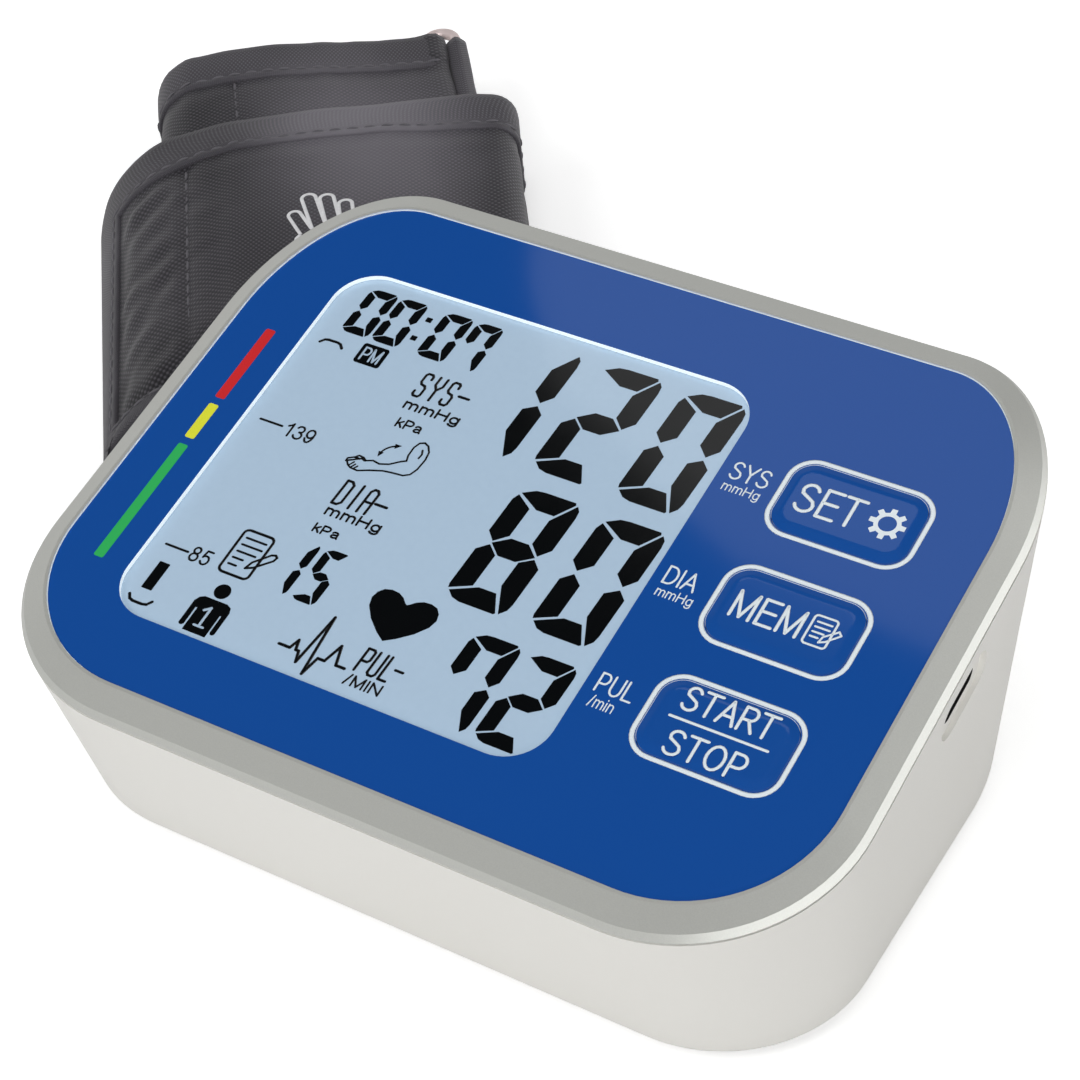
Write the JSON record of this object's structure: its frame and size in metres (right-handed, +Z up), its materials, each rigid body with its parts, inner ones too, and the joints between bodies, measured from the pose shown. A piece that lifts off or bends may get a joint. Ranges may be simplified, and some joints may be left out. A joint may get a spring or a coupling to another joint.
{
  "type": "upper arm blood pressure monitor",
  "caption": "Desktop blood pressure monitor with a sloping glossy face, segment display and keys, and a fabric arm cuff with a wire ring lying behind it.",
  "frame": {"origin": "on the resting surface, at the centre of the desk unit's footprint, amid its four feet", "axes": "+X to the user's right, +Y away from the user, +Z up; the face slopes down towards -Y"},
  "size_m": [0.217, 0.1972, 0.0539],
  "materials": {
    "white_abs": "smooth satin white",
    "silver_paint": "fine silver lacquer on plastic",
    "blue_gloss": "high gloss royal blue",
    "lcd_glass": "grey-blue segment display glass with black segments",
    "clear_guide": "milky light guide",
    "holder_plastic": "white moulded frame",
    "black_rubber": "matte black rubber",
    "clear_tube": "milky silicone tube",
    "circuit_green": "green solder mask",
    "black_plastic": "black moulded plastic",
    "steel": "plain steel",
    "bright_steel": "bright plated steel",
    "cell_jacket": "printed cell jacket, plain",
    "pump_plastic": "black glass-filled plastic",
    "cuff_fabric": "dark grey woven nylon",
    "cuff_edge": "dark grey hook and loop tape",
    "ring_wire": "bright wire",
    "bladder_film": "thin black film"
  },
  "bodies": {
    "unit": {"aa_cell_1": "cell_jacket", "aa_cell_2": "cell_jacket", "aa_cell_3": "cell_jacket", "aa_cell_4": "cell_jacket", "air_manifold": "holder_plastic", "air_socket": "black_plastic", "base_housing": "white_abs", "board_screws": "steel", "buzzer": "black_plastic", "case_screws": "steel", "flat_contacts": "steel", "front_panel": "blue_gloss", "lcd_glass": "lcd_glass", "lcd_holder": "holder_plastic", "leaf_contacts": "steel", "light_guide": "clear_guide", "main_board": "circuit_green", "pressure_sensor": "black_plastic", "processor": "black_plastic", "pump_head": "pump_plastic", "pump_motor": "steel", "pump_sleeve": "black_rubber", "pump_tube": "clear_tube", "release_valve": "pump_plastic", "rubber_feet": "black_rubber", "sensor_tube": "clear_tube", "socket_tube": "clear_tube", "switch_bodies": "steel", "top_housing": "silver_paint", "usb_socket": "bright_steel", "valve_tube": "clear_tube", "zebra_strip": "black_rubber"},
    "battery_door": {"battery_door": "white_abs"},
    "set_button": {"set_key": "blue_gloss", "set_switch_stem": "black_plastic"},
    "mem_button": {"mem_key": "blue_gloss", "mem_switch_stem": "black_plastic"},
    "start_stop_button": {"start_stop_key": "blue_gloss", "start_stop_switch_stem": "black_plastic"},
    "pump_rotor": {"pump_rotor": "steel"},
    "valve_plunger": {"valve_plunger": "steel"},
    "cuff": {"cuff_sleeve": "cuff_fabric", "cuff_lining": "cuff_fabric", "cuff_bladder": "bladder_film", "bladder_port": "black_plastic", "d_ring": "ring_wire", "ring_tab": "cuff_fabric", "loop_pad": "cuff_edge"},
    "cuff_flap": {"strap_flap": "cuff_fabric", "hook_pad": "cuff_edge"}
  },
  "joints": [
    {"name": "set_press", "type": "slide", "parent": "unit", "child": "set_button", "axis": [0, 0.1939, -0.981], "range_m": [0, 0.0005], "stiffness_N_per_m": 1200, "springref_m": -0.0008},
    {"name": "mem_press", "type": "slide", "parent": "unit", "child": "mem_button", "axis": [0, 0.1939, -0.981], "range_m": [0, 0.0005], "stiffness_N_per_m": 1200, "springref_m": -0.0008},
    {"name": "start_stop_press", "type": "slide", "parent": "unit", "child": "start_stop_button", "axis": [0, 0.1939, -0.981], "range_m": [0, 0.0005], "stiffness_N_per_m": 1200, "springref_m": -0.0008},
    {"name": "battery_door_hinge", "type": "hinge", "parent": "unit", "child": "battery_door", "pos_m": [0, -0.04155, 0.002], "axis": [-1, 0, 0], "range_deg": [0, 60]},
    {"name": "pump_spin", "type": "hinge", "parent": "unit", "child": "pump_rotor", "pos_m": [0, 0.03, 0.0177], "axis": [1, 0, 0], "continuous": true},
    {"name": "valve_stroke", "type": "slide", "parent": "unit", "child": "valve_plunger", "axis": [0, 1, 0], "range_m": [0, 0.0008], "stiffness_N_per_m": 400, "springref_m": -0.001},
    {"name": "cuff_lift", "type": "slide", "parent": "unit", "child": "cuff", "axis": [0, 0, 1], "range_m": [0, 0.15]},
    {"name": "flap_hinge", "type": "hinge", "parent": "cuff", "child": "cuff_flap", "pos_m": [-0.06501, 0.08728, 0.01905], "axis": [-0.6157, 0.788, 0], "range_deg": [0, 110]}
  ]
}
